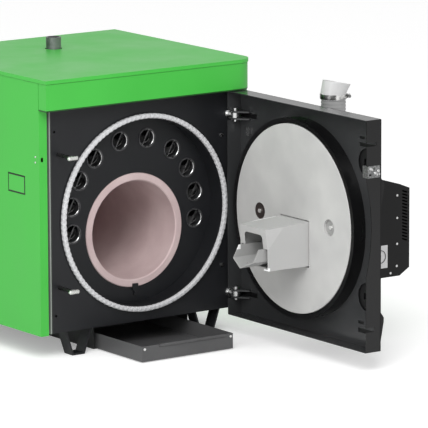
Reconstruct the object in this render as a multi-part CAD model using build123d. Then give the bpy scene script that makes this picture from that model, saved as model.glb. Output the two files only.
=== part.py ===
from build123d import *
import math
import os

os.makedirs("parts", exist_ok=True)

# Pellet boiler with its burner in a swung-open door.
# Modelling frame: X right, Y back, Z up, origin in the middle of the door seal ring.
SHIFT = (-110.5, -33.75, 367.0)

# Casing, millimetres
HALF_W = 340.0
REAR_Y = 640.0
FLANGE_Y = -2.0
PANEL_Z0 = -300.0
LID_Z = 396.0
SHEET = 1.5
HEAD_Y = -38.0
HEAD_Z0 = 312.0
HEAD_R = 48.0

# Pressure body
PLATE_Z0 = -297.0
SHELL_RO = 286.0
SHELL_RI = 282.0
SHELL_Y1 = 566.0
PIPE_R = 20.0
SOCKET_R = 20.95
SEAL_RI = 257.5
SEAL_RO = 271.5
SHEET_Y = 53.0
FURN_Z = -56.0
FURN_RI = 158.0
LINE_RO = 157.0
LINE_RI = 136.0
TUBE_RO = 27.0
TUBE_RI = 24.4
TUBE_RING = 204.0
TUBE_Z = -6.0
TUBE_ANGLES = (12.5, 38.3, 59.4, 80.2, 101.0)

# Door, drawn open at a right angle: its inside looks toward -X
HINGE_X = 283.0
HINGE_Y = -27.0
HINGE_Z = (243.5, -252.7)
RIM_X = 262.5
TRAY_X = 308.0
SKIN_X = 311.0
DOOR_Y0 = -642.0
DOOR_Y1 = -18.0
DOOR_Z0 = -311.0
DOOR_Z1 = 310.5
DISC_Y = -310.0
DISC_R = 257.0
DISC_X = 267.0
PIN_R = 5.0

# Locks
LOCK_Y = -587.0
LOCK_Z = (187.0, -174.0)
STUD_X = -277.0

# Burner
BURN_Y = -320.0
BOX_HALF = 62.0
NOSE_X = 133.0
COVER_X = 563.0
COVER_Y0 = -440.0
COVER_Y1 = -198.0
HOSE_X = 400.0
HOSE_Y = -315.0
CLAMP_Z = 315.0
AUGER_Z = -36.0
FAN_AT = (420.0, -108.0)
FAN_Y0 = -252.0

# Ash drawer and feet
FLOOR_Z = -367.0
DRAW_X0 = -134.0
DRAW_X1 = 164.0
DRAW_Y0 = -178.0
DRAW_Y1 = 246.0
FOOT_X = 212.0


def box(x0, x1, y0, y1, z0, z1):
    return Pos((x0 + x1) / 2, (y0 + y1) / 2, (z0 + z1) / 2) * Box(x1 - x0, y1 - y0, z1 - z0)


def cyl_x(r, x0, x1, y, z):
    return Pos((x0 + x1) / 2, y, z) * Rot(0, 90, 0) * Cylinder(r, x1 - x0)


def cyl_y(r, y0, y1, x=0.0, z=0.0):
    return Pos(x, (y0 + y1) / 2, z) * Rot(90, 0, 0) * Cylinder(r, y1 - y0)


def cyl_z(r, z0, z1, x, y):
    return Pos(x, y, (z0 + z1) / 2) * Cylinder(r, z1 - z0)


def ring_x(ro, ri, x0, x1, y, z):
    return cyl_x(ro, x0, x1, y, z) - cyl_x(ri, x0 - 1, x1 + 1, y, z)


def ring_y(ro, ri, y0, y1, x=0.0, z=0.0):
    return cyl_y(ro, y0, y1, x, z) - cyl_y(ri, y0 - 1, y1 + 1, x, z)


def ring_z(ro, ri, z0, z1, x, y):
    return cyl_z(ro, z0, z1, x, y) - cyl_z(ri, z0 - 1, z1 + 1, x, y)


def prism_y(points, y0, y1):
    # an outline given as (x, z), drawn out along Y
    return Pos(0, y1, 0) * extrude(Plane.XZ * Polygon(*points, align=None), y1 - y0, dir=(0, -1, 0))


def prism_x(points, x0, x1):
    # an outline given as (y, z), drawn out along X
    return Pos(x0, 0, 0) * extrude(Plane.YZ * Polygon(*points, align=None), x1 - x0, dir=(1, 0, 0))


def prism_z(points, z0, z1):
    # an outline given as (x, y), drawn out along Z
    return Pos(0, 0, z0) * extrude(Polygon(*points, align=None), z1 - z0, dir=(0, 0, 1))


def hex_y(across, y0, y1, x, z):
    nut = extrude(Plane.XZ * RegularPolygon(across / 2, 6, major_radius=False), y1 - y0)
    return Pos(x, y1, z) * nut


def hex_x(across, x0, x1, y, z):
    nut = extrude(Plane.YZ * RegularPolygon(across / 2, 6, major_radius=False), x1 - x0)
    return Pos(x0, y, z) * nut


def tube_places():
    places = []
    for angle in TUBE_ANGLES:
        for side in (-1, 1):
            a = math.radians(angle)
            places.append((side * TUBE_RING * math.sin(a), TUBE_Z + TUBE_RING * math.cos(a)))
    return places


def turned(profile, y0):
    # a profile of (radius, y) points turned about the boiler's long axis
    face = Plane.XY * Polygon(*profile, align=None)
    return revolve(face, Axis.Y, 360)


# ---------------------------------------------------------------- pressure body

def water_shell():
    shell = ring_y(SHELL_RO, SHELL_RI, 8, SHELL_Y1)
    shell -= cyl_z(PIPE_R + 0.05, 200, 300, 0, 440)
    return shell


def front_plate():
    plate = box(-300, 300, 2, 8, PLATE_Z0, 330)
    plate += box(-300, 300, 8, 24, PLATE_Z0, PLATE_Z0 + 2)
    plate -= cyl_y(273.2, 0, 10)
    for z in HINGE_Z:
        plate -= cyl_y(6.05, 0, 10, HINGE_X, z)
    for z in LOCK_Z:
        plate -= cyl_y(5.55, 0, 10, STUD_X, z)
        plate -= cyl_y(3.05, 0, 10, 256, z)
    for z in (249.5, -250.2):
        plate -= cyl_y(3.5, 0, 10, -288.6, z)
    return plate


def plug_screws():
    screws = Part()
    for z in LOCK_Z:
        screws += cyl_y(5, -1.2, 2, 256, z) + cyl_y(3, 2, 14, 256, z)
    return screws


def seal_channel():
    profile = [(255.4, 53), (255.4, -1), (257.2, -1), (257.2, 6.3), (271.8, 6.3),
               (271.8, 0), (273.2, 0), (273.2, 8), (257.2, 8), (257.2, 53)]
    return turned(profile, 0)


def seal_rope():
    c = 4.0
    y0, y1 = -10.1, 6.1
    return turned([(SEAL_RI + c, y0), (SEAL_RO - c, y0), (SEAL_RO, y0 + c), (SEAL_RO, y1 - c), (SEAL_RO - c, y1),
                   (SEAL_RI + c, y1), (SEAL_RI, y1 - c), (SEAL_RI, y0 + c)], 0)


def tube_sheet(y0, y1, with_furnace):
    sheet = cyl_y(SHELL_RI - 0.05, y0, y1)
    for x, z in tube_places():
        sheet -= cyl_y(TUBE_RO + 0.05, y0 - 1, y1 + 1, x, z)
    if with_furnace:
        sheet -= cyl_y(163.05, y0 - 1, y1 + 1, 0, FURN_Z)
    else:
        sheet -= cyl_y(PIPE_R + 0.05, y0 - 1, y1 + 1, -150, -180)
        sheet -= cyl_y(10.65, y0 - 1, y1 + 1, 0, -252)
    return sheet


def furnace_tube():
    tube = ring_y(163, FURN_RI, SHEET_Y, 462, 0, FURN_Z)
    bottom = [(0, 462), (163, 462), (163, 468), (120, 482), (60, 489), (0, 491)]
    tube += Pos(0, 0, FURN_Z) * turned(bottom, 0)
    return tube


def ceramic_lining():
    profile = [(LINE_RI + 3, 50), (LINE_RO - 2, 50), (LINE_RO, 52), (LINE_RO, 460),
               (0, 460), (0, 440), (LINE_RI, 440), (LINE_RI, 53)]
    return Pos(0, 0, FURN_Z) * turned(profile, 0)


def lining_clip():
    clip = box(-9, 9, 46.5, 49.5, -221, -203)
    clip += box(-5, 5, 46.5, 53, -226, -217)
    clip += cyl_y(4, 48, 53, 0, -232)
    return clip


def fire_tubes():
    tubes = Part()
    for x, z in tube_places():
        tubes += ring_y(TUBE_RO, TUBE_RI, 50.5, 564, x, z)
    return tubes


def turbulators():
    # twisted strips, each with a flat tongue and a pull hole in front
    strip_w = 43.0
    steps = 28
    strips = Part()
    for x, z in tube_places():
        sections = []
        for i in range(steps + 1):
            plane = Plane((x, 72 + 15 * i, z), x_dir=(1, 0, 0), z_dir=(0, 1, 0))
            sections.append(plane * Rot(0, 0, 36 * i) * Rectangle(strip_w, 2.4))
        tongue = box(x - 9, x + 9, 58, 73, z - 1.2, z + 1.2) - cyl_z(4, z - 3, z + 3, x, 65)
        strips += loft(sections, ruled=True) + tongue
    return strips


def smoke_box():
    outline = cyl_y(250, 560.2, 630)
    inner = cyl_y(247, 560, 627)
    floor = box(-260, 260, 555, 635, -262, -98)
    inner_floor = box(-260, 260, 555, 635, -262, -95)
    hood = (outline - floor) - (inner - inner_floor)
    return hood - cyl_y(62.05, 620, 640, 0, 120)


def flue_spigot():
    spigot = ring_y(62.5, 60, 630.2, 690, 0, 120)
    return spigot + ring_y(64.5, 60, 684, 712, 0, 120)


def supply_socket():
    return ring_z(PIPE_R, 17, 276, 404, 0, 440) + ring_z(SOCKET_R, 17, 400, 428, 0, 440)


def return_socket():
    return ring_y(PIPE_R, 17, 548, 660, -150, -180) + ring_y(SOCKET_R, 17, 656, 684, -150, -180)


def drain_socket():
    drain = ring_y(10.6, 7.5, 540, 662, 0, -252)
    return drain + hex_y(24, 662, 674, 0, -252)


def saddle(y0, y1):
    block = prism_y([(-190, -295), (190, -295), (220, -190), (-220, -190)], y0, y1)
    return block - cyl_y(SHELL_RO + 0.1, y0 - 1, y1 + 1)


def base_pan():
    pan = box(-338, 338, 26, 635, PLATE_Z0, -295)
    pan += box(-338, -336, 26, 635, PLATE_Z0, -270) + box(336, 338, 26, 635, PLATE_Z0, -270)
    return pan + saddle(110, 116) + saddle(470, 476)


def insulation_wrap():
    wool = ring_y(333, SHELL_RO + 1, 26, 548)
    wool &= box(-334, 334, 20, 560, -294, 340)
    for y0, y1 in ((110, 116), (470, 476)):
        wool -= box(-235, 235, y0 - 0.5, y1 + 0.5, -300, -180)
    return wool - cyl_z(22, 200, 400, 0, 440)


# ---------------------------------------------------------------- casing

def side_panel(side):
    outer = side * HALF_W
    inner = side * (HALF_W - SHEET)
    lo, hi = min(outer, inner), max(outer, inner)
    sheet = box(lo, hi, FLANGE_Y, REAR_Y, PANEL_Z0, 385)
    edge = side * (HALF_W - 25)
    lo, hi = min(outer, edge), max(outer, edge)
    sheet += box(lo, hi, FLANGE_Y, FLANGE_Y + SHEET, PANEL_Z0, HEAD_Z0 + 10)
    sheet += box(lo, hi, REAR_Y - SHEET, REAR_Y, PANEL_Z0, 385)
    sheet += box(lo, hi, FLANGE_Y, REAR_Y, PANEL_Z0, PANEL_Z0 + SHEET)
    sheet -= box(-400, 400, FLANGE_Y - 1, 10 if side > 0 else FLANGE_Y + SHEET, HEAD_Z0, 400)
    return sheet


def casing_left():
    sheet = side_panel(-1)
    sheet -= box(-345, -335, 68, 152, 75, 127)
    lock_hole = Pos(-331, -1, 179) * Rot(90, 0, 0) * extrude(SlotOverall(13, 8, rotation=90), 3, both=True)
    sheet -= lock_hole
    return sheet


def casing_right():
    return side_panel(1)


def side_flap():
    flap = box(-340, -338.5, 70, 150, 77, 125)
    frame = box(-338.3, -336.8, 60, 160, 67, 135)
    return flap + frame + box(-338.6, -338.2, 80, 140, 85, 117)


def head_outline(grow):
    # the casing's plan with its one rounded corner over the hinge side
    x = HALF_W + grow
    y = HEAD_Y - grow
    r = HEAD_R + grow
    c = r * (1 - math.sqrt(0.5))
    wire = Polyline((-x, REAR_Y + grow), (-x, y), (x - r, y))
    arc = ThreePointArc((x - r, y), (x - c, y + c), (x, y + r))
    back = Polyline((x, y + r), (x, REAR_Y + grow), (-x, REAR_Y + grow))
    return make_face(wire.edges() + [arc] + back.edges())


def header():
    top = 385.0
    body = Pos(0, 0, HEAD_Z0) * extrude(head_outline(0), top - HEAD_Z0)
    core = Pos(0, 0, HEAD_Z0 + SHEET) * extrude(head_outline(-SHEET), top)
    shell = body - core
    shell &= box(-400, 400, -60, 9.9, 300, 400)
    shell -= box(-400, 400, FLANGE_Y + SHEET, 20, 300, HEAD_Z0 + 5)
    return shell - box(-400, 0, FLANGE_Y - 0.2, 20, 300, 400)


def top_cover():
    pan = Pos(0, 0, 386) * extrude(head_outline(2), LID_Z - 386)
    pan -= Pos(0, 0, 380) * extrude(head_outline(0.3), LID_Z - SHEET - 380)
    return pan - cyl_z(24, 300, 450, 0, 440)


def back_panel():
    panel = box(-337, 337, 635.5, 637, -298, 384)
    panel -= cyl_y(72, 600, 660, 0, 120)
    panel -= cyl_y(26, 600, 660, -150, -180) + cyl_y(15, 600, 660, 0, -252)
    for i in range(8):
        x = -105 + 30 * i
        panel -= box(x - 9, x + 9, 630, 640, 318, 324)
    return panel


def frame_posts():
    left = box(-307, -300.2, 0, 16, PLATE_Z0, 311) - box(-305.5, -300, 1.5, 20, -310, 320)
    return left + mirror(left, Plane.YZ)


def control_unit():
    unit = box(-95, 95, 30, 150, 340, 380)
    return fillet(unit.edges().filter_by(Axis.Z), 5) + box(-20, 20, 150, 158, 350, 370)


def studs():
    bolts = Part()
    for z in LOCK_Z:
        bolts += cyl_y(5.5, -64, 22, STUD_X, z)
        head = cyl_x(5.8, STUD_X - 16, STUD_X + 16, -68.5, z)
        bolts += chamfer(head.edges().filter_by(GeomType.CIRCLE), 3.2)
    return bolts


def hinge_eye_bolts():
    bolts = Part()
    for z in HINGE_Z:
        eye = cyl_z(12, z - 6.5, z + 6.5, HINGE_X, HINGE_Y)
        shank = cyl_y(6, HINGE_Y, 24, HINGE_X, z)
        bolts += (eye + shank) - cyl_z(PIN_R + 0.05, z - 20, z + 20, HINGE_X, HINGE_Y)
    return bolts


def hinge_nuts():
    nuts = Part()
    for z in HINGE_Z:
        for y0, y1 in ((-8, 0), (10, 18)):
            nuts += hex_y(19, y0, y1, HINGE_X, z) - cyl_y(6.03, y0 - 1, y1 + 1, HINGE_X, z)
        nuts += ring_y(14, 6.05, 0, 2, HINGE_X, z)
    return nuts


def foot(x, y0):
    outline = [(-43, PLATE_Z0), (-19.5, FLOOR_Z), (19.5, FLOOR_Z), (43, PLATE_Z0)]
    hollow = [(-37.6, PLATE_Z0), (-16, FLOOR_Z + 5), (16, FLOOR_Z + 5), (37.6, PLATE_Z0)]
    strap = Polygon(*outline, align=None) - Polygon(*hollow, align=None)
    return Pos(x, y0 + 40, 0) * extrude(Plane.XZ * strap, 40, dir=(0, -1, 0))


def feet():
    parts = Part()
    for x in (-FOOT_X, FOOT_X):
        for y0 in (27, 580):
            parts += foot(x, 10 if y0 < 100 else y0)
    return parts


def drawer_housing():
    x0, x1 = DRAW_X0 - 9, DRAW_X1 + 4.5
    walls = box(x0, x0 + 2, 42, 500, -366.5, PLATE_Z0 - 0.1)
    walls += box(x1 - 2, x1, 42, 500, -366.5, PLATE_Z0 - 0.1)
    walls += box(x0, x1, 498, 500, -366.5, PLATE_Z0 - 0.1)
    walls += box(x0, x1, 42, 500, PLATE_Z0 - 2, PLATE_Z0 - 0.1)
    walls += box(x0, x0 + 12, 42, 500, -366.5, -365.2)
    return walls + box(x1 - 12, x1, 42, 500, -366.5, -365.2)


def ash_drawer():
    pan = box(DRAW_X0, DRAW_X1, DRAW_Y0, DRAW_Y1, -365, -323)
    pan -= box(DRAW_X0 + SHEET, DRAW_X1 - SHEET, DRAW_Y0 + SHEET, DRAW_Y1 - SHEET, -363.5, -300)
    lip = cyl_x(4, -78, 137, DRAW_Y0 - 1, -325.5) - box(-90, 150, DRAW_Y0 + SHEET, 0, -340, -300)
    pan += lip
    for x in (-126, 156):
        pan += cyl_y(3.4, DRAW_Y0 - 2, DRAW_Y0, x, -331)
    return pan


# ---------------------------------------------------------------- door

def hinge_wall_cuts():
    cuts = Part()
    for z in HINGE_Z:
        cuts += box(RIM_X - 1, 300, -21, -17, z - 14, z + 14)
        cuts += box(300, 312, -95, -21, z - 7, z + 7)
    return cuts


def lock_side_cuts():
    cuts = box(RIM_X - 1, 294.7, DOOR_Y0 - 1, DOOR_Y0 + 3, 241, 251)
    cuts += box(RIM_X - 1, 290, DOOR_Y0 - 1, DOOR_Y0 + 3, -255, -243)
    cuts += box(300, 312, -577, -555, 248, 255) + box(300, 312, -639, -555, 228, 238)
    cuts += box(300, 312, -574, -550, -249.5, -242) + box(300, 312, -639, -550, -273, -261)
    cuts += box(RIM_X - 1, 307, DOOR_Y0 - 1, DOOR_Y0 + 3, 156.5, 189.5)
    scallop_r = (128.0 ** 2 + 17.0 ** 2) / 34.0
    cuts += cyl_y(scallop_r, DOOR_Y0 - 1, DOOR_Y0 + 3, RIM_X + 17 - scallop_r, 22)
    for z in LOCK_Z:
        cuts += cyl_x(38, 300, 312, LOCK_Y, z)
    return cuts


def burner_window(grow, x0, x1):
    return box(x0, x1, BURN_Y - BOX_HALF - grow, BURN_Y + BOX_HALF + grow, -120.5 - grow, 2.5 + grow)


def door_tray():
    tray = box(RIM_X, TRAY_X, DOOR_Y0, DOOR_Y1, DOOR_Z0, DOOR_Z1)
    tray = fillet(tray.edges().filter_by(Axis.X), 3)
    tray -= box(RIM_X - 1, TRAY_X - SHEET, DOOR_Y0 + 2, DOOR_Y1 - 2, DOOR_Z0 + 2, DOOR_Z1 - 2)
    tray -= hinge_wall_cuts() + lock_side_cuts()
    return tray - burner_window(0.5, 300, 312)


def door_skin():
    skin = box(TRAY_X + 0.3, SKIN_X, DOOR_Y0, DOOR_Y1, DOOR_Z0, DOOR_Z1)
    skin = fillet(skin.edges().filter_by(Axis.X), 3)
    skin -= burner_window(0.5, 300, 312)
    for z in LOCK_Z:
        skin -= cyl_x(40.5, 300, 315, LOCK_Y, z)
    return skin


def about_disc_axis(profile):
    # a profile of (radius, x) points turned about the door disc's axis
    face = Polygon(*[(x, r) for r, x in profile], align=None)
    return Pos(0, DISC_Y, 0) * revolve(face, Axis.X, 360)


def door_dish():
    profile = [(259.5, 267.6), (271.5, 267.6), (271.5, 306.2), (40, 306.2), (40, 304.2),
               (269.5, 304.2), (269.5, 270), (259.5, 270)]
    return about_disc_axis(profile) - burner_window(0.5, 290, 312)


def insulation_disc():
    disc = about_disc_axis([(0, DISC_X + 1), (0, 303.8), (DISC_R, 303.8), (DISC_R, DISC_X + 1.5),
                            (DISC_R - 1.5, DISC_X), (0, DISC_X)])
    disc -= burner_window(2.5, 250, 320)
    for y in (-162.4, -472.7):
        disc -= cyl_x(22.5, 260, 276 if y < -400 else 269, y, 0)
        disc -= cyl_x(5, 260, 320, y, 0)
    return disc


def disc_fixings():
    parts = Part()
    for y, x in ((-162.4, 269.0), (-472.7, 276.0)):
        parts += cyl_x(22.2, x - 2, x, y, 0) + hex_x(10, x - 5.5, x - 2, y, 0)
        parts += cyl_x(4.9, x, 304, y, 0)
    return parts


def hinge_forks():
    arm = [(0, 13), (9.2, 9.2), (13, 0), (25, -8), (25, -40), (17, -40), (-9.2, -9.2), (-13, 0), (-9.2, 9.2)]
    plates = Part()
    for z in HINGE_Z:
        for zc in (z - 9.7, z + 9.7):
            points = [(HINGE_X + x, HINGE_Y + y) for x, y in arm]
            plates += prism_z(points, zc - 2, zc + 2)
    for z in HINGE_Z:
        plates -= cyl_z(PIN_R, z - 30, z + 30, HINGE_X, HINGE_Y)
    return plates & box(200, 306.4, -100, 0, -400, 400)


def hinge_pins():
    pins = Part()
    for z in HINGE_Z:
        pins += cyl_z(PIN_R, z - 18, z + 16, HINGE_X, HINGE_Y)
        pins += cyl_z(6.6, z + 12, z + 19, HINGE_X, HINGE_Y)
    return pins


def latch_blank():
    return box(300, 306.4, -67, -64, 188, 210) + box(303.4, 306.4, -64, -48, 188, 210)


def lock_housings():
    rings = Part()
    for z in LOCK_Z:
        rings += ring_x(45, 40.05, SKIN_X, 315.5, LOCK_Y, z)
    return rings


def handle(z):
    drum = cyl_x(40, 311.2, 315.5, LOCK_Y, z) + cyl_x(22, 315.5, 334, LOCK_Y, z)
    drum -= cyl_x(18.6, 315, 331, LOCK_Y, z)
    drum -= box(300, 316, LOCK_Y - 18.5, LOCK_Y + 18.5, z - 8.5, z + 8.5)
    side = [(332, z + 20), (339, z + 17), (342, z - 42), (352.5, z - 57), (353, z - 69),
            (344, z - 134), (341, z - 138), (336, z - 136), (343, z - 70), (333, z - 52), (332, z - 20)]
    outline = fillet((Plane.XZ * Polygon(*side, align=None)).vertices(), 1.4)
    lever = Pos(0, LOCK_Y + 14, 0) * extrude(outline, 28, dir=(0, -1, 0))
    front = prism_x([(LOCK_Y - 14, z + 30), (LOCK_Y + 14, z + 30), (LOCK_Y + 14, z - 60),
                     (LOCK_Y + 9, z - 140), (LOCK_Y - 9, z - 140), (LOCK_Y - 14, z - 60)], 330, 370)
    return drum + (lever & front)


def lock_case():
    case = box(266.5, 306.4, DOOR_Y0, -620, 157, 189)
    case -= box(268, 300, -640.5, -618, 158.5, 187.5)
    case -= box(283, 290, DOOR_Y0 - 1, -638, 178, 183) + box(271, 278, DOOR_Y0 - 1, -638, 163, 168)
    return case


# ---------------------------------------------------------------- burner

def wedge(points):
    # a four-cornered block, used to turn in the nozzle's upper front corners
    a, b, c, d = points
    faces = [Face(Wire.make_polygon(tri, close=True)) for tri in ((a, b, c), (a, b, d), (a, c, d), (b, c, d))]
    return Solid(Shell(faces))


def nozzle_form(g):
    # outside of the burner body, moved in by g: full width behind, cheeks turned in at the mouth
    half = BOX_HALF - g
    tip = 56.0 - g
    side = [(NOSE_X + g * 0.3, -60), (NOSE_X - 5 + g * 0.3, -5.5 - g), (267, 2.5 - g), (470 - g, 2.5 - g),
            (470 - g, -120.5 + g), (NOSE_X + 1.5, -117 + g)]
    form = prism_y(side, BURN_Y - half, BURN_Y + half)
    for s in (-1, 1):
        far = BURN_Y + s * (half + 30)
        edge = BURN_Y + s * half
        low = (NOSE_X + g, edge, -60 - g)
        back = (187 + g, edge, -1 - g)
        front = (NOSE_X - 5, BURN_Y + s * tip, -5.5)
        ahead = [tuple(front[i] + 1.6 * (front[i] - (low[i] + back[i]) / 2) for i in range(3))]
        form -= wedge([low, back, ahead[0], (NOSE_X - 40, far, 40)])
    return form


def burner_box():
    tube = nozzle_form(0) - nozzle_form(3.0)
    mouth = Plane.YZ * (Pos(BURN_Y, -72) * RectangleRounded(81, 100, 12))
    tube -= Pos(100, 0, 0) * extrude(mouth, 50, dir=(1, 0, 0))
    tube -= box(100, NOSE_X + 6, BURN_Y - 59, BURN_Y + 59, -114, -58)
    tube -= cyl_z(32.6, -2, 10, HOSE_X, HOSE_Y)
    tube -= cyl_x(24.1, 460, 475, BURN_Y, AUGER_Z)
    return tube


def burner_grate():
    # folded trough with a V floor and a slanted front, on which the pellets burn
    w, top, knee, low = 46.0, -58.0, -92.0, -112.0
    t = 2.5
    outer = [(-w, top), (-w, knee), (0, low), (w, knee), (w, top)]
    inner = [(-w + t, top + 1), (-w + t, knee + t * 0.7), (0, low + t), (w - t, knee + t * 0.7), (w - t, top + 1)]
    channel = Polygon(*outer, align=None) - Polygon(*inner, align=None)
    trough = Pos(82, BURN_Y - 2, 0) * extrude(Plane.YZ * channel, 172, dir=(1, 0, 0))
    trough -= prism_y([(60, -50), (118, -50), (84, -112), (84, -120), (60, -120)], -400, -240)
    for i in range(5):
        for y in (-16, 16):
            trough -= cyl_z(2.5, -115, -95, 120 + 24 * i, BURN_Y - 2 + y)
    return trough


def burner_flange():
    plate = box(SKIN_X, 317, BURN_Y - 78, BURN_Y + 78, -138, 20)
    plate -= burner_window(0.05, 300, 320)
    for y in (-70, 70):
        for z in (-130, 12):
            plate += hex_x(13, 317, 325, BURN_Y + y, z)
    return plate


def cover_profile(g):
    return [(SKIN_X, 151 - g), (528 - g * 0.3, 85.7 - g), (COVER_X - g, 71.8 - g), (COVER_X - g, -146 + g * 0.4),
            (530 - g * 0.4, -166 + g), (SKIN_X, -166 + g)]


def burner_cover():
    cover = prism_y(cover_profile(0), COVER_Y0, COVER_Y1)
    cover -= prism_y([(x if x > SKIN_X else SKIN_X - 5, z) for x, z in cover_profile(SHEET)],
                     COVER_Y0 + SHEET, COVER_Y1 - SHEET)
    cover -= cyl_z(35, 80, 200, HOSE_X, HOSE_Y)
    slot = Plane.XZ * (Rot(0, 0, -20) * RectangleRounded(19, 4.2, 2))
    for i in range(16):
        place = Pos(546.8, 0, 63 - 8.75 * i)
        cover -= place * (Pos(0, -150, 0) * extrude(slot, 400, dir=(0, -1, 0)))
    cover -= box(441, 485, COVER_Y0 - 1, COVER_Y0 + 2, -136, -80)
    return cover


def door_screws():
    screws = Part()
    for x, z in ((272, 182), (280, 179), (296, 165), (303, 166)):
        screws += cyl_y(2.6, DOOR_Y0 - 2.5, DOOR_Y0, x, z)
    for x, z in ((520, 55.4), (520, -6.3), (520, -77.3), (519, -138), (498, -155.5)):
        screws += cyl_y(3.2, COVER_Y0 - 2, COVER_Y0, x, z) + cyl_y(3.2, COVER_Y1, COVER_Y1 + 2, x, z)
    return screws


def power_socket():
    plate = box(438.5, 487.7, COVER_Y0 - 1.6, COVER_Y0, -139, -77)
    plate += cyl_y(18.2, COVER_Y0 - 3.2, COVER_Y0 - 1.6, 463, -107)
    plate -= cyl_y(16.4, COVER_Y0 - 4, COVER_Y0 - 1.7, 463, -107)
    plate += box(443, 483, COVER_Y0, COVER_Y0 + 24, -134, -82)
    for z in (-100, -107, -114):
        plate -= cyl_y(2.2, COVER_Y0 - 2, COVER_Y0 + 12, 463, z)
    return plate


def feed_pipe():
    pipe = ring_z(32.5, 29.5, -0.4, 320, HOSE_X, HOSE_Y)
    for i in range(15):
        pipe += ring_z(33.6, 32.4, 172 + 9.3 * i, 176.5 + 9.3 * i, HOSE_X, HOSE_Y)
    return pipe


def feed_boot():
    # flared sleeve that leans toward the feed screw above
    rings = []
    for grow in (0, -0.9):
        low = Pos(HOSE_X, HOSE_Y, 330) * Circle(35.1 + grow)
        top = Pos(HOSE_X + 11, HOSE_Y, 358) * Rot(0, 12, 0) * Circle(38 + grow)
        rings.append(cyl_z(35.1 + grow, 313, 330, HOSE_X, HOSE_Y) + loft([low, top], ruled=True))
    return rings[0] - rings[1]


def toward_screw(form):
    return Pos(HOSE_X, HOSE_Y, CLAMP_Z + 7) * Rot(0, 0, -35.4) * form


def hose_clamp():
    band = ring_z(36.7, 35.2, CLAMP_Z, CLAMP_Z + 13, HOSE_X, HOSE_Y)
    band += toward_screw(Pos(37.2, 0, 0) * Box(5, 16, 10))
    return band - cyl_z(35.2, 300, 335, HOSE_X, HOSE_Y)


def clamp_screw():
    return toward_screw(Pos(43, 0, 1) * Rot(90, 0, 0) * Cylinder(3.2, 22)) + toward_screw(
        Pos(43, -13, 1) * Rot(90, 0, 0) * extrude(RegularPolygon(4.2, 6, major_radius=False), 4))


def auger():
    # a screw that carries pellets from the feed pipe to the grate
    shaft = cyl_x(7, 300, 500, BURN_Y, AUGER_Z)
    pitch = 40.0
    length = 150.0
    path = Helix(pitch, length, 15.3, center=(0, 0, 0))
    blade = Plane(origin=path @ 0, x_dir=(1, 0, 0), z_dir=path % 0) * Rectangle(17, 2.4)
    flight = sweep(blade, path=path, is_frenet=True)
    return shaft + Pos(306, BURN_Y, AUGER_Z) * Rot(0, 90, 0) * flight


def auger_motor():
    motor = cyl_x(24, 474, 505, BURN_Y, AUGER_Z) - cyl_x(7.05, 470, 501, BURN_Y, AUGER_Z)
    motor += box(505, 552, BURN_Y - 28, BURN_Y + 28, AUGER_Z - 28, AUGER_Z + 28)
    return motor


def fan_housing():
    x, z = FAN_AT
    drum = cyl_y(46, FAN_Y0, FAN_Y0 + 36, x, z) + box(330, x, FAN_Y0, FAN_Y0 + 36, z - 46, z - 20)
    drum -= cyl_y(43, FAN_Y0 + 2, FAN_Y0 + 34, x, z)
    drum -= box(320, x, FAN_Y0 + 2, FAN_Y0 + 34, z - 44, z - 22)
    drum -= cyl_y(22, FAN_Y0 - 5, FAN_Y0 + 5, x, z) + cyl_y(4.05, FAN_Y0, FAN_Y0 + 40, x, z)
    return drum + cyl_y(20, FAN_Y0 + 36, FAN_Y0 + 48, x, z) - cyl_y(4.05, FAN_Y0 + 30, FAN_Y0 + 45, x, z)


def fan_wheel():
    x, z = FAN_AT
    wheel = cyl_y(38, FAN_Y0 + 28, FAN_Y0 + 30, x, z) + cyl_y(4, FAN_Y0 + 10, FAN_Y0 + 44, x, z)
    wheel += cyl_y(9, FAN_Y0 + 10, FAN_Y0 + 29, x, z)
    for i in range(14):
        blade = Pos(33, 0, 0) * Rot(0, 24, 0) * Box(9, 20, 1.4)
        wheel += Pos(x, FAN_Y0 + 18.5, z) * Rot(0, i * 360 / 14, 0) * blade
    return wheel


def igniter():
    rod = cyl_x(5, 205, 330, BURN_Y + 50, -108)
    return rod + cyl_x(8, 330, 344, BURN_Y + 50, -108)


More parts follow.
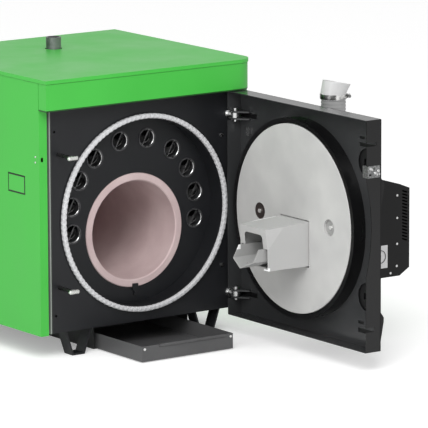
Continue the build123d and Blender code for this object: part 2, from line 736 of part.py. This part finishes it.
NODES = {
    "water_shell": water_shell,
    "front_plate": front_plate,
    "plug_screws": plug_screws,
    "seal_channel": seal_channel,
    "seal_rope": seal_rope,
    "front_tube_sheet": lambda: tube_sheet(SHEET_Y, SHEET_Y + 8, True),
    "rear_tube_sheet": lambda: tube_sheet(552, 560, False),
    "furnace_tube": furnace_tube,
    "ceramic_lining": ceramic_lining,
    "lining_clip": lining_clip,
    "fire_tubes": fire_tubes,
    "turbulators": turbulators,
    "smoke_box": smoke_box,
    "flue_spigot": flue_spigot,
    "supply_socket": supply_socket,
    "return_socket": return_socket,
    "drain_socket": drain_socket,
    "base_pan": base_pan,
    "insulation_wrap": insulation_wrap,
    "casing_left": casing_left,
    "casing_right": casing_right,
    "side_flap": side_flap,
    "header": header,
    "top_cover": top_cover,
    "back_panel": back_panel,
    "frame_posts": frame_posts,
    "control_unit": control_unit,
    "studs": studs,
    "hinge_eye_bolts": hinge_eye_bolts,
    "hinge_nuts": hinge_nuts,
    "feet": feet,
    "drawer_housing": drawer_housing,
    "ash_drawer": ash_drawer,
    "door_tray": door_tray,
    "door_skin": door_skin,
    "door_dish": door_dish,
    "insulation_disc": insulation_disc,
    "disc_fixings": disc_fixings,
    "hinge_forks": hinge_forks,
    "hinge_pins": hinge_pins,
    "latch_blank": latch_blank,
    "lock_housings": lock_housings,
    "handle_upper": lambda: handle(LOCK_Z[0]),
    "handle_lower": lambda: handle(LOCK_Z[1]),
    "lock_case": lock_case,
    "burner_box": burner_box,
    "burner_grate": burner_grate,
    "burner_flange": burner_flange,
    "burner_cover": burner_cover,
    "door_screws": door_screws,
    "power_socket": power_socket,
    "feed_pipe": feed_pipe,
    "feed_boot": feed_boot,
    "hose_clamp": hose_clamp,
    "clamp_screw": clamp_screw,
    "auger": auger,
    "auger_motor": auger_motor,
    "fan_housing": fan_housing,
    "fan_wheel": fan_wheel,
    "igniter": igniter,
}

for name, make in NODES.items():
    solid = Pos(*SHIFT) * make()
    export_step(solid, f"parts/{name}.step")
    print(name, round(solid.volume / 1000, 1), "cm3")
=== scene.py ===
import math

import bmesh
import bpy
from mathutils import Matrix, Vector


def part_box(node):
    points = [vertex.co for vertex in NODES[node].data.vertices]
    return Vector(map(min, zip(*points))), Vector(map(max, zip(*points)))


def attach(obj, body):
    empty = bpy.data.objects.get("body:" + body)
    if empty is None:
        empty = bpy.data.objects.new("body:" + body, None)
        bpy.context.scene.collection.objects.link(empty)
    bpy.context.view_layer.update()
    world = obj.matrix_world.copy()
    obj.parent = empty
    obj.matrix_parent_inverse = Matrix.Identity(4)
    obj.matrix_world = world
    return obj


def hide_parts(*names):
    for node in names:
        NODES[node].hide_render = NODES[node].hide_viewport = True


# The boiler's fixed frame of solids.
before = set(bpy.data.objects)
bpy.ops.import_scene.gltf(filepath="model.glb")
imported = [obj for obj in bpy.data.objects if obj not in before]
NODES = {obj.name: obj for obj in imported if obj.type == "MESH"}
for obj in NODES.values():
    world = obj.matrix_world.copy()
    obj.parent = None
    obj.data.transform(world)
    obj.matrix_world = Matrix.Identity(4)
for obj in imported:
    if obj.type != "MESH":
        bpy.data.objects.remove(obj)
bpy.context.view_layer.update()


def srgb(r, g, b):
    """Display colour, 0 to 255, as the linear colour a shader wants."""
    out = []
    for v in (r, g, b):
        v /= 255.0
        out.append(v / 12.92 if v <= 0.04045 else ((v + 0.055) / 1.055) ** 2.4)
    return (*out, 1.0)


class Ink:
    """A shader socket that can be used in sums and products."""

    def __init__(self, tree, socket):
        self.tree = tree
        self.socket = socket

    def node(self, kind, settings=None, out=0, **values):
        made = self.tree.nodes.new(kind)
        for key, value in (settings or {}).items():
            if key == "stops":
                ramp = made.color_ramp
                while len(ramp.elements) < len(value):
                    ramp.elements.new(0.5)
                for element, (place, colour) in zip(ramp.elements, value):
                    element.position = place
                    element.color = colour
            else:
                setattr(made, key, value)
        for key, value in values.items():
            plug = made.inputs[int(key[1:])] if key[0] == "i" and key[1:].isdigit() else made.inputs[
                key.replace("_", " ")]
            if isinstance(value, Ink):
                self.tree.links.new(value.socket, plug)
            else:
                plug.default_value = value
        return Ink(self.tree, made.outputs[out])

    def math(self, operation, other=0.0, swap=False):
        first, second = (other, self) if swap else (self, other)
        return self.node("ShaderNodeMath", {"operation": operation}, i0=first, i1=second)

    def __add__(self, other):
        return self.math("ADD", other)

    __radd__ = __add__

    def __mul__(self, other):
        return self.math("MULTIPLY", other)

    __rmul__ = __mul__

    def __sub__(self, other):
        return self.math("SUBTRACT", other)

    def __rsub__(self, other):
        return self.math("SUBTRACT", other, swap=True)

    def __truediv__(self, other):
        return self.math("DIVIDE", other)

    def above(self, level):
        return self.math("GREATER_THAN", level)

    def span(self, low, high, to_low=0.0, to_high=1.0):
        return self.node("ShaderNodeMapRange", i0=self, i1=low, i2=high, i3=to_low, i4=to_high)


def finish_of(name):
    """A new material: its shader and the place on the object, in metres."""
    material = bpy.data.materials.new(name)
    material.use_nodes = True
    shader = material.node_tree.nodes["Principled BSDF"]
    start = Ink(material.node_tree, None)
    place = start.node("ShaderNodeTexCoord", out=3)
    return material, shader, place


def noise(place, scale, detail=2.0, rough=0.5):
    return place.node("ShaderNodeTexNoise", Vector=place, Scale=scale, Detail=detail, Roughness=rough)


def two_tone(mask, low, high):
    return mask.node("ShaderNodeMix", {"data_type": "RGBA"}, out=2, i0=mask, i6=low, i7=high)


def feed(shader, socket, ink):
    ink.tree.links.new(ink.socket, shader.inputs[socket])


def bump(shader, height, distance, strength=1.0):
    feed(shader, "Normal", height.node("ShaderNodeBump", Height=height, Distance=distance, Strength=strength))


def axes(place):
    return [place.node("ShaderNodeSeparateXYZ", out=i, i0=place) for i in range(3)]


def within(place, low, high):
    """One inside the box from low to high, in the piece's own metres, and nought outside."""
    mask = None
    for value, a, b in zip(axes(place), low, high):
        slab = value.above(a) * (value * -1.0).above(-b)
        mask = slab if mask is None else mask * slab
    return mask


def own_box(name):
    """Corners of a node's mesh in the mesh's own coordinates."""
    corners = [v.co for v in NODES[name].data.vertices]
    return (Vector([min(c[i] for c in corners) for i in range(3)]),
            Vector([max(c[i] for c in corners) for i in range(3)]))


# A length in metres beyond the whole boiler, for the open sides of a patch.
FAR = 9.0


def coat_finish(name, colour, rough, spread=0.06, shade=0.88, coat=0.0, grain=900.0, depth=0.00006,
                specular=0.5, patches=()):
    """Sprayed and baked paint: faint clouding, a fine orange-peel skin, and patches of another colour."""
    material, shader, place = finish_of(name)
    cloud = noise(place, 7.0, 3.0)
    skin = noise(place, grain, 2.0)
    dark = tuple(c * shade for c in colour[:3]) + (1.0,)
    tone = two_tone(cloud.span(0.35, 0.65), dark, colour)
    for low, high, patch in patches:
        tone = two_tone(within(place, low, high), tone, patch)
    feed(shader, "Base Color", tone)
    feed(shader, "Roughness", cloud.span(0.3, 0.7, rough - spread, rough + spread))
    shader.inputs["Specular IOR Level"].default_value = specular
    shader.inputs["Coat Weight"].default_value = coat
    shader.inputs["Coat Roughness"].default_value = 0.12
    bump(shader, skin, depth, 0.5)
    return material


def dress(material, *names):
    for name in names:
        slots = NODES[name].data.materials
        slots.clear()
        slots.append(material)


# Casing: folded sheet steel with a smooth green powder coat, in left and right panels,
# a header with one rounded corner, a lid and a small push-in flap on the left side. The flap's
# rim and the header's lower hem lie in shade.
GREEN = srgb(62, 178, 62)
green = coat_finish("green powder coat", GREEN, 0.4, shade=0.96)
dress(green, "casing_left", "casing_right", "top_cover")
FLAP_FRAME = 0.01
FLAP_RIM = 0.0026
flap_low, flap_high = own_box("side_flap")
rim = Vector((-FAR, FLAP_RIM + FLAP_FRAME, FLAP_RIM + FLAP_FRAME))
flap_finish = coat_finish("flap in its dark rim", srgb(18, 30, 18), 0.4,
                          patches=[(flap_low + rim, flap_high - rim, GREEN)])
dress(flap_finish, "side_flap")
HEM = 0.0035
header_low = own_box("header")[0]
header_finish = coat_finish("header coat with shaded hem", GREEN, 0.4, shade=0.96, patches=[
    ((-FAR, -FAR, -FAR), (FAR, FAR, header_low.z + HEM), srgb(20, 74, 20))])
dress(header_finish, "header")


def piece(name, mesh, material, body, smooth=True):
    """A new piece that rides on a body and takes the given finish."""
    thing = bpy.data.objects.new(name, mesh)
    bpy.context.scene.collection.objects.link(thing)
    mesh.materials.append(material)
    for face in mesh.polygons:
        face.use_smooth = smooth
    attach(thing, body)
    return thing


def turned_mesh(name, profiles, steps=24, sharp=math.radians(40)):
    """Several bodies of revolution in one mesh. Each is (origin, axis, [(radius, height), ...])."""
    form = bmesh.new()
    for origin, axis, outline in profiles:
        turn = Vector((0, 0, 1)).rotation_difference(Vector(axis)).to_matrix()
        rings = []
        for radius, height in outline:
            if radius < 1e-6:
                rings.append([form.verts.new(Vector(origin) + turn @ Vector((0, 0, height)))])
                continue
            ring = []
            for i in range(steps):
                a = 2 * math.pi * i / steps
                ring.append(form.verts.new(
                    Vector(origin) + turn @ Vector((radius * math.cos(a), radius * math.sin(a), height))))
            rings.append(ring)
        for low, high in zip(rings, rings[1:]):
            for i in range(steps):
                j = (i + 1) % steps
                quad = [low[i % len(low)], low[j % len(low)], high[j % len(high)], high[i % len(high)]]
                corners = list(dict.fromkeys(quad))
                if len(corners) > 2:
                    form.faces.new(corners)
    bmesh.ops.remove_doubles(form, verts=form.verts, dist=1e-6)
    return closed_mesh(name, form, sharp)


def closed_mesh(name, form, sharp):
    bmesh.ops.recalc_face_normals(form, faces=form.faces)
    mesh = bpy.data.meshes.new(name)
    form.to_mesh(mesh)
    form.free()
    mesh.set_sharp_from_angle(angle=sharp)
    return mesh


left_low, left_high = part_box("casing_left")
plate_low, plate_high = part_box("front_plate")
RIVET_R = 0.0028
RIVET_BACK = 0.0185
RIVET_DROP = (0.1994, 0.2143)
rivet_outline = [(0, 0.0), (RIVET_R, 0.0), (RIVET_R, -0.0002), (RIVET_R * 0.8, -0.001), (0, -0.0014)]
rivet_places = [((left_low.x, left_low.y + RIVET_BACK, left_high.z - d), (1, 0, 0), rivet_outline)
                for d in RIVET_DROP]
bright_zinc, shader, place = finish_of("bright zinc")
shader.inputs["Metallic"].default_value = 1.0
cloud = noise(place, 160.0, 3.0)
feed(shader, "Base Color", two_tone(cloud, srgb(185, 186, 188), srgb(232, 232, 230)))
feed(shader, "Roughness", cloud.span(0.3, 0.7, 0.18, 0.34))
piece("side_rivets", turned_mesh("side_rivets", rivet_places), bright_zinc, "boiler")

# Front plate, seal channel and tube sheet: thick black sheet, painted with satin stove paint.
# The channel is rolled and welded in; the sheet behind it carries the smoke tubes.
stove_black = coat_finish("stove black", srgb(24, 25, 28), 0.42, shade=0.9, grain=500.0, specular=0.4)
dress(stove_black, "front_plate", "seal_channel", "front_tube_sheet", "furnace_tube", "base_pan", "feet")
dress(bright_zinc, "plug_screws")

# Light grey strips of the hidden frame beside the front plate, and the plain back panel,
# both raw pre-coated sheet.
# The posts are painted dark between their grey edge strips, as the shade of the gap beside the front plate.
STRIP_SHOWN = 0.0032
post_low, post_high = own_box("frame_posts")
strip_gap_shade = [((post_low.x + STRIP_SHOWN, -FAR, -FAR), (post_high.x - STRIP_SHOWN, FAR, FAR),
                srgb(34, 36, 35))]
strip_grey = coat_finish("pre-coated grey sheet with painted gap shade", srgb(140, 148, 140), 0.45, patches=strip_gap_shade)
dress(strip_grey, "frame_posts")
back_grey = coat_finish("plain grey back sheet", srgb(140, 148, 140), 0.45)
dress(back_grey, "back_panel")

# Rope seal: a square-plaited ceramic fibre rope pressed into the channel. The plait is modelled
# as raised strands crossing over the rope's face.
ROPE_STEPS = 1080
ROPE_ROUND = 20
ROPE_SQUARE = 3.4
STRAND_REPEATS = 112
STRAND_HEIGHT = 0.0009


def rope_mesh(name, low, high, inner, outer):
    centre = (low + high) / 2
    half_w = (outer - inner) / 2
    half_d = (high.y - low.y) / 2
    mid_r = (outer + inner) / 2
    form = bmesh.new()
    rows = []
    for i in range(ROPE_STEPS):
        a = 2 * math.pi * i / ROPE_STEPS
        row = []
        for k in range(ROPE_ROUND):
            b = 2 * math.pi * k / ROPE_ROUND
            c, s = math.cos(b), math.sin(b)
            push = 1 / (abs(c) ** ROPE_SQUARE + abs(s) ** ROPE_SQUARE) ** (1 / ROPE_SQUARE)
            lean = STRAND_REPEATS * a
            plait = max(math.sin(lean + 2 * b), math.sin(lean - 2 * b + 1.2))
            drop = STRAND_HEIGHT * (plait - 1.0)
            r = mid_r + c * push * (half_w + drop)
            y = centre.y + s * push * (half_d + drop)
            row.append(form.verts.new((centre.x + r * math.sin(a), y, centre.z + r * math.cos(a))))
        rows.append(row)
    for i in range(ROPE_STEPS):
        here, ahead = rows[i], rows[(i + 1) % ROPE_STEPS]
        for k in range(ROPE_ROUND):
            n = (k + 1) % ROPE_ROUND
            form.faces.new((here[k], here[n], ahead[n], ahead[k]))
    bmesh.ops.recalc_face_normals(form, faces=form.faces)
    mesh = bpy.data.meshes.new(name)
    form.to_mesh(mesh)
    form.free()
    return mesh


rope_low, rope_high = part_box("seal_rope")
ROPE_OUT = (rope_high.x - rope_low.x) / 2
ROPE_WIDE = 0.014
ROPE_IN = ROPE_OUT - ROPE_WIDE
fibre, shader, place = finish_of("white fibre rope")
fuzz = noise(place, 420.0, 4.0, 0.6)
feed(shader, "Base Color", two_tone(fuzz.span(0.3, 0.7), srgb(168, 168, 170), srgb(216, 216, 218)))
shader.inputs["Roughness"].default_value = 0.85
shader.inputs["Sheen Weight"].default_value = 0.2
bump(shader, fuzz, 0.0006, 0.6)
rope = piece("plaited_rope", rope_mesh("plaited_rope", rope_low, rope_high, ROPE_IN, ROPE_OUT), fibre,
             "boiler")
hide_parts("seal_rope")

# Smoke tubes and the twisted strips hung in them: seamless tube and bent strip, dark from
# the first fires, with bare bright edges.
scaled_steel, shader, place = finish_of("scaled tube steel")
shader.inputs["Metallic"].default_value = 0.85
soot = noise(place, 60.0, 4.0, 0.6)
feed(shader, "Base Color", two_tone(soot.span(0.3, 0.7), srgb(62, 62, 64), srgb(120, 120, 122)))
feed(shader, "Roughness", soot.span(0.3, 0.7, 0.3, 0.5))
dress(scaled_steel, "fire_tubes")
TUBE_ANGLES = (12.5, 38.3, 59.4, 80.2, 101.0)
TUBE_RING = 0.204
TUBE_IN = 0.0244
TUBE_CENTRE = (-0.1105, 0.361)
TUBE_MOUTH = 0.01675
tube_mouths = [(TUBE_CENTRE[0] + side * TUBE_RING * math.sin(math.radians(a)),
                TUBE_CENTRE[1] + TUBE_RING * math.cos(math.radians(a)))
               for a in TUBE_ANGLES for side in (-1, 1)]
WELD_R = 0.001
WELD_AT = 0.003
weld_outline = [(TUBE_IN - 2 * WELD_R, 0.0), (TUBE_IN - WELD_R, WELD_R), (TUBE_IN, 0.0),
                (TUBE_IN - WELD_R, -WELD_R), (TUBE_IN - 2 * WELD_R, 0.0)]
weld_places = [((x, TUBE_MOUTH + WELD_AT, z), (0, 1, 0), weld_outline) for x, z in tube_mouths]
piece("tube_welds", turned_mesh("tube_welds", weld_places, steps=32), bright_zinc, "boiler")

# The visible form of the twisted strips: wound more tightly than their solids, with a ground
# round edge on both sides that catches the light inside each tube.
STRIP_HALF = 0.0205
STRIP_THIN = 0.0006
STRIP_START = 0.0245
STRIP_END = 0.462
HALF_TURN = 0.028
STRIP_STEPS = 170
EDGE_R = 0.0009
START_ANGLE = 1.1


def helix_mesh(name, sections):
    """Closed sections, each a list of (across, through), wound along all ten tubes."""
    form = bmesh.new()
    for cx, cz in tube_mouths:
        for section in sections:
            rows = []
            for i in range(STRIP_STEPS + 1):
                y = STRIP_START + (STRIP_END - STRIP_START) * i / STRIP_STEPS
                a = START_ANGLE - math.pi * (y - STRIP_START) / HALF_TURN
                c, t = math.cos(a), math.sin(a)
                rows.append([form.verts.new((cx + u * c - v * t, y, cz + u * t + v * c)) for u, v in section])
            for here, ahead in zip(rows, rows[1:]):
                for k in range(len(section)):
                    n = (k + 1) % len(section)
                    form.faces.new((here[k], here[n], ahead[n], ahead[k]))
            form.faces.new(rows[0])
            form.faces.new(rows[-1])
    return closed_mesh(name, form, math.radians(30))


flat_section = [(-STRIP_HALF, -STRIP_THIN), (-STRIP_HALF, STRIP_THIN), (STRIP_HALF, STRIP_THIN),
                (STRIP_HALF, -STRIP_THIN)]
edge_sections = [[(side * STRIP_HALF - EDGE_R, 0), (side * STRIP_HALF, EDGE_R),
                  (side * STRIP_HALF + EDGE_R, 0), (side * STRIP_HALF, -EDGE_R)] for side in (-1, 1)]
piece("strip_edges", helix_mesh("strip_edges", edge_sections), bright_zinc, "boiler")
strip_steel, shader, place = finish_of("rolled strip steel")
shader.inputs["Metallic"].default_value = 0.9
soot = noise(place, 90.0, 4.0, 0.6)
feed(shader, "Base Color", two_tone(soot.span(0.3, 0.7), srgb(110, 110, 112), srgb(176, 176, 176)))
feed(shader, "Roughness", soot.span(0.3, 0.7, 0.22, 0.42))
spirals = piece("spiral_strips", helix_mesh("spiral_strips", [flat_section]), strip_steel, "boiler")
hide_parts("turbulators")

# Furnace lining: pressed fireclay ring with a pinkish body, fine sandy grain and a few
# darker specks. A bent clip and screw hold it in the sheet.
fireclay, shader, place = finish_of("pink fireclay")
patch = noise(place, 14.0, 4.0)
sand = noise(place, 700.0, 3.0, 0.7)
base = two_tone(patch.span(0.3, 0.7), srgb(190, 168, 168), srgb(204, 184, 183))
feed(shader, "Base Color", two_tone(sand.span(0.62, 0.75, 0.0, 0.35), base, srgb(120, 96, 94)))
shader.inputs["Roughness"].default_value = 0.8
bump(shader, sand, 0.0004, 0.5)
dress(fireclay, "ceramic_lining")
dress(stove_black, "lining_clip")

# Pressure body behind the casing: bare plate, tube and socket steel with mill scale.
mill_steel, shader, place = finish_of("mill steel")
shader.inputs["Metallic"].default_value = 0.8
scale_marks = noise(place, 25.0, 5.0, 0.6)
feed(shader, "Base Color", two_tone(scale_marks.span(0.3, 0.7), srgb(96, 96, 100), srgb(150, 150, 152)))
feed(shader, "Roughness", scale_marks.span(0.3, 0.7, 0.35, 0.55))
dress(mill_steel, "water_shell", "rear_tube_sheet", "smoke_box", "supply_socket",
      "return_socket", "drain_socket", "auger", "burner_flange")
flue_paint = coat_finish("flue paint", srgb(60, 60, 62), 0.5)
dress(flue_paint, "flue_spigot")
wool, shader, place = finish_of("mineral wool")
tuft = noise(place, 120.0, 5.0, 0.7)
feed(shader, "Base Color", two_tone(tuft, srgb(150, 135, 80), srgb(196, 182, 120)))
shader.inputs["Roughness"].default_value = 0.95
bump(shader, tuft, 0.004, 0.8)
dress(wool, "insulation_wrap")

# Closing studs, hinge eye bolts, nuts, pins and small screws: turned steel, zinc plated. The
# studs' shanks are painted dark as shade, and their heads are painted bright as a highlight.
dress(bright_zinc, "hinge_eye_bolts", "hinge_nuts", "hinge_pins", "door_screws", "clamp_screw", "latch_blank")
STUD_HEAD = 0.014
stud_low = own_box("studs")[0]
stud_steel, shader, place = finish_of("stud steel with painted head highlight")
# Painted highlight on the studs' heads and painted shade on their shanks.
head = (axes(place)[1] * -1.0).above(-(stud_low.y + STUD_HEAD))
cloud = noise(place, 160.0, 3.0)
feed(shader, "Base Color", two_tone(head, srgb(78, 79, 78), srgb(224, 226, 222)))
feed(shader, "Roughness", cloud.span(0.3, 0.7, 0.2, 0.36))
shader.inputs["Metallic"].default_value = 0.9
dress(stud_steel, "studs")

# Ash drawer and its housing: folded dark grey sheet; the drawer's inside is painted near black as shade.
SHEET_IN = 0.0018
BRIM = 0.0016
LIP = 0.005
LIP_BACK = 0.0002
RIVET_IN = 0.008
RIVET_DOWN = 0.0095
RIVET_HALF = 0.0042
pan_low, pan_high = own_box("ash_drawer")
# The first patch is painted shade inside the drawer; the others are its rivet heads.
drawer_shade_and_rivets = [
    (pan_low + Vector((SHEET_IN, SHEET_IN + LIP, SHEET_IN)), pan_high - Vector((SHEET_IN, SHEET_IN, BRIM)),
     srgb(17, 17, 17))]
for x in (pan_low.x + RIVET_IN, pan_high.x - RIVET_IN):
    z = pan_high.z - RIVET_DOWN
    drawer_shade_and_rivets.append(((x - RIVET_HALF, -FAR, z - RIVET_HALF),
                           (x + RIVET_HALF, pan_low.y + LIP - LIP_BACK, z + RIVET_HALF),
                           srgb(214, 214, 212)))
drawer_paint = coat_finish("drawer grey with painted inner shade", srgb(84, 84, 85), 0.42, shade=0.85, patches=drawer_shade_and_rivets)
dress(drawer_paint, "ash_drawer")
housing_paint = coat_finish("housing black", srgb(40, 40, 41), 0.5)
dress(housing_paint, "drawer_housing")

# Door: a deep folded glossy black tray with a plainer black skin on its outside, which the burner's
# hood matches, and a pressed dish that holds the insulation disc, painted darker still as the shade
# inside it. The tray's free wall lies in shade.
FREE_WALL = 0.003
tray_low = own_box("door_tray")[0]
free_wall = [((-FAR, -FAR, -FAR), (FAR, tray_low.y + FREE_WALL, FAR), srgb(8, 8, 9))]
door_black = coat_finish("gloss black powder coat", srgb(54, 55, 56), 0.22, spread=0.03, coat=0.15, grain=700.0,
                         depth=0.00003, specular=0.35, patches=free_wall)
dress(door_black, "door_tray", "hinge_forks")
dish_painted_shade = coat_finish("dish coat painted dark as shade", srgb(15, 15, 16), 0.3, grain=700.0, depth=0.00003, specular=0.35)
dress(dish_painted_shade, "door_dish")
hood_black = coat_finish("hood powder coat", srgb(12, 12, 13), 0.4, grain=700.0, depth=0.00003, specular=0.25)
dress(hood_black, "door_skin", "burner_cover")

# Insulation disc: smooth pressed board, pale grey, with faint pressing marks.
board, shader, place = finish_of("pressed insulating board")
patch = noise(place, 9.0, 3.0)
grit = noise(place, 520.0, 3.0, 0.6)
feed(shader, "Base Color", two_tone(patch.span(0.3, 0.7), srgb(178, 178, 177), srgb(192, 192, 190)))
feed(shader, "Roughness", patch.span(0.3, 0.7, 0.5, 0.62))
bump(shader, grit, 0.0002, 0.4)
dress(board, "insulation_disc")

# Fixings of the disc: a browned washer on the hinge side and a pale one on the free side.
fix_low, fix_high = own_box("disc_fixings")
washers, shader, place = finish_of("disc washers")
FIX_MID = (fix_low.y + fix_high.y) / 2
BOLT_DEEP = 0.0034
DISH_STEP = 0.007
toward_hinge = axes(place)[1].above(FIX_MID)
bolt = (within(place, (-FAR, FIX_MID, -FAR), (fix_low.x + BOLT_DEEP, FAR, FAR))
        + within(place, (-FAR, -FAR, -FAR), (fix_low.x + BOLT_DEEP + DISH_STEP, FIX_MID, FAR)))
plain = two_tone(toward_hinge, srgb(176, 176, 175), srgb(74, 68, 66))
feed(shader, "Base Color", two_tone(bolt, plain, srgb(222, 222, 220)))
feed(shader, "Roughness", noise(place, 200.0, 3.0).span(0.3, 0.7, 0.3, 0.45))
shader.inputs["Metallic"].default_value = 0.6
dress(washers, "disc_fixings")

# Locks: black moulded turning handles in ring housings, and a galvanised steel lock case.
moulded_black = coat_finish("black moulding", srgb(20, 20, 21), 0.4, grain=1500.0, depth=0.00008,
                            specular=0.3)
dress(moulded_black, "handle_upper", "handle_lower", "lock_housings")
galvanised, shader, place = finish_of("galvanised sheet")
shader.inputs["Metallic"].default_value = 0.9
spangle = place.node("ShaderNodeTexVoronoi", out=0, Vector=place, Scale=220.0)
feed(shader, "Base Color", two_tone(spangle.span(0.0, 0.8), srgb(84, 85, 86), srgb(150, 151, 151)))
feed(shader, "Roughness", spangle.span(0.0, 0.8, 0.25, 0.45))
dress(galvanised, "lock_case")
case_low, case_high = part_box("lock_case")
case_outline = [(0, 0.0), (0.0048, 0.0), (0.0048, 0.0012), (0.0038, 0.0026), (0, 0.0034)]
case_places = [((case_low.x + dx, case_low.y, case_high.z - dz), (0, -1, 0), case_outline)
               for dx, dz in ((0.009, 0.007), (0.024, 0.019), (0.034, 0.014))]
piece("lock_case_screws", turned_mesh("lock_case_screws", case_places, steps=20), bright_zinc, "door")

# Burner: bare heat-resisting sheet, satin from the rolling mill, on the igniter. The nozzle and
# the grate are paler and duller.
stainless, shader, place = finish_of("heat-resisting sheet")
shader.inputs["Metallic"].default_value = 0.3
brushed = noise(place, 40.0, 2.0, 0.5)
feed(shader, "Base Color", two_tone(brushed.span(0.3, 0.7), srgb(198, 198, 197), srgb(208, 208, 207)))
feed(shader, "Roughness", brushed.span(0.3, 0.7, 0.34, 0.48))
dress(stainless, "igniter")

# The nozzle's far top edge and the lower tips of nozzle and grate are painted white as highlights.
painted_highlight_white = srgb(246, 246, 246)
EDGE = 0.004
EDGE_DEEP = 0.01
EDGE_FROM, EDGE_TO = 0.04, 0.12
TIP_LONG, TIP_WIDE = 0.012, 0.02
GRATE_WIDE, GRATE_DEEP, GRATE_LONG = 0.006, 0.012, 0.034
nose_low, nose_high = own_box("burner_box")
grate_low, grate_high = own_box("burner_grate")
nose_highlights = [((nose_low.x + EDGE_FROM, nose_high.y - EDGE, nose_high.z - EDGE_DEEP),
                 (nose_low.x + EDGE_TO, FAR, FAR), painted_highlight_white),
                ((-FAR, -FAR, -FAR),
                 (nose_low.x + TIP_LONG, nose_low.y + TIP_WIDE, nose_low.z + TIP_LONG), painted_highlight_white)]
grate_highlights = [((-FAR, grate_high.y - GRATE_WIDE, grate_high.z - GRATE_DEEP),
                  (grate_low.x + GRATE_LONG, FAR, FAR), painted_highlight_white)]
nose_steel = coat_finish("nozzle sheet with painted highlights", srgb(182, 182, 181), 0.4, shade=0.95, grain=400.0, patches=nose_highlights)
dress(nose_steel, "burner_box")
grate_steel = coat_finish("grate sheet with painted highlight", srgb(166, 166, 165), 0.36, shade=0.9, grain=400.0,
                          patches=grate_highlights)
dress(grate_steel, "burner_grate")

# Pellet feed on the hood: ribbed grey hose, bright clamp band and a milky flared sleeve.
hose_grey = coat_finish("grey hose", srgb(150, 150, 150), 0.45, grain=1200.0)
dress(hose_grey, "feed_pipe")
band_steel, shader, place = finish_of("clamp band")
shader.inputs["Metallic"].default_value = 1.0
streak = noise(place, 45.0, 2.0).span(0.42, 0.58)
feed(shader, "Base Color", two_tone(streak, srgb(130, 130, 130), srgb(240, 240, 238)))
shader.inputs["Roughness"].default_value = 0.22
dress(band_steel, "hose_clamp")
milky, shader, place = finish_of("milky sleeve")
haze = noise(place, 30.0, 3.0)
feed(shader, "Base Color", two_tone(haze, srgb(206, 206, 206), srgb(230, 230, 230)))
shader.inputs["Roughness"].default_value = 0.3
shader.inputs["Transmission Weight"].default_value = 0.25
dress(milky, "feed_boot")

# Power socket: a light plate with a round black inlet. The burner's own drives sit under the hood.
RING_PROUD = 0.0012
socket_low = own_box("power_socket")[0]
ring_patch = [((-FAR, -FAR, -FAR), (FAR, socket_low.y + RING_PROUD, FAR), srgb(66, 66, 66))]
plate_white = coat_finish("pale plastic plate", srgb(212, 212, 212), 0.4, grain=1500.0, patches=ring_patch)
dress(plate_white, "power_socket")
drive_grey = coat_finish("drive housing", srgb(96, 97, 99), 0.45)
dress(drive_grey, "auger_motor", "fan_housing", "fan_wheel", "control_unit")

# Floor and light: a white studio sweep, a large soft lamp above the front left, a weaker one
# low on the left and an even sky.
bpy.context.scene.view_settings.view_transform = "Standard"
FLOOR_HALF = 30.0
FLOOR_Z = -0.0005
FLOOR_GLOW = 0.29
floor_mesh = bpy.data.meshes.new("studio_floor")
floor_mesh.from_pydata([(x * FLOOR_HALF, y * FLOOR_HALF, FLOOR_Z)
                        for x, y in ((-1, -1), (1, -1), (1, 1), (-1, 1))], [], [(0, 1, 2, 3)])
floor = bpy.data.objects.new("studio_floor", floor_mesh)
bpy.context.scene.collection.objects.link(floor)
white_floor, shader, place = finish_of("white studio floor")
shader.inputs["Base Color"].default_value = (0.88, 0.88, 0.88, 1.0)
shader.inputs["Roughness"].default_value = 0.9
seen = place.node("ShaderNodeLightPath", out=0)
feed(shader, "Emission Strength", seen * FLOOR_GLOW)
shader.inputs["Emission Color"].default_value = (1, 1, 1, 1)
floor_mesh.materials.append(white_floor)

SKY_STRENGTH = 0.75
world = bpy.data.worlds.new("studio sky")
bpy.context.scene.world = world
world.use_nodes = True
sky = world.node_tree.nodes["Background"]
rays = Ink(world.node_tree, None).node("ShaderNodeLightPath", out=0)
sky.inputs["Color"].default_value = (1, 1, 1, 1)
feed(sky, "Strength", rays.span(0.0, 1.0, SKY_STRENGTH, 1.0))

# Place, size in metres, power in watts and the point that each lamp faces.
LAMPS = [("front soft lamp", (-2.2, -3.2, 3.6), 2.5, 140.0, (0, 0, 0.4)),
         ("left soft lamp", (-3.2, -1.1, 1.5), 2.0, 22.0, (0.2, -0.3, 0.4))]
for name, place, size, power, target in LAMPS:
    lamp_data = bpy.data.lights.new(name, "AREA")
    lamp_data.shape = "SQUARE"
    lamp_data.size = size
    lamp_data.energy = power
    lamp = bpy.data.objects.new(name, lamp_data)
    lamp.location = place
    lamp.rotation_euler = (Vector(target) - Vector(place)).to_track_quat("-Z", "Y").to_euler()
    bpy.context.scene.collection.objects.link(lamp)

# Camera: a long lens from the front left, a little above the boiler.
CAMERA_PLACE = (-6.7327, -9.66575, 2.5649)
CAMERA_YAW = math.radians(35.426)
CAMERA_DOWN = math.radians(10.673)
CAMERA_ROLL = math.radians(0.22)
LENS_MM = 370.1
camera_data = bpy.data.cameras.new("camera")
camera_data.sensor_width = 36.0
camera_data.lens = LENS_MM
camera_data.clip_end = 100.0
camera = bpy.data.objects.new("camera", camera_data)
camera.matrix_world = (Matrix.Translation(CAMERA_PLACE)
                       @ Matrix.Rotation(-CAMERA_YAW, 4, "Z")
                       @ Matrix.Rotation(math.pi / 2 - CAMERA_DOWN, 4, "X")
                       @ Matrix.Rotation(-CAMERA_ROLL, 4, "Z"))
bpy.context.scene.collection.objects.link(camera)
bpy.context.scene.camera = camera
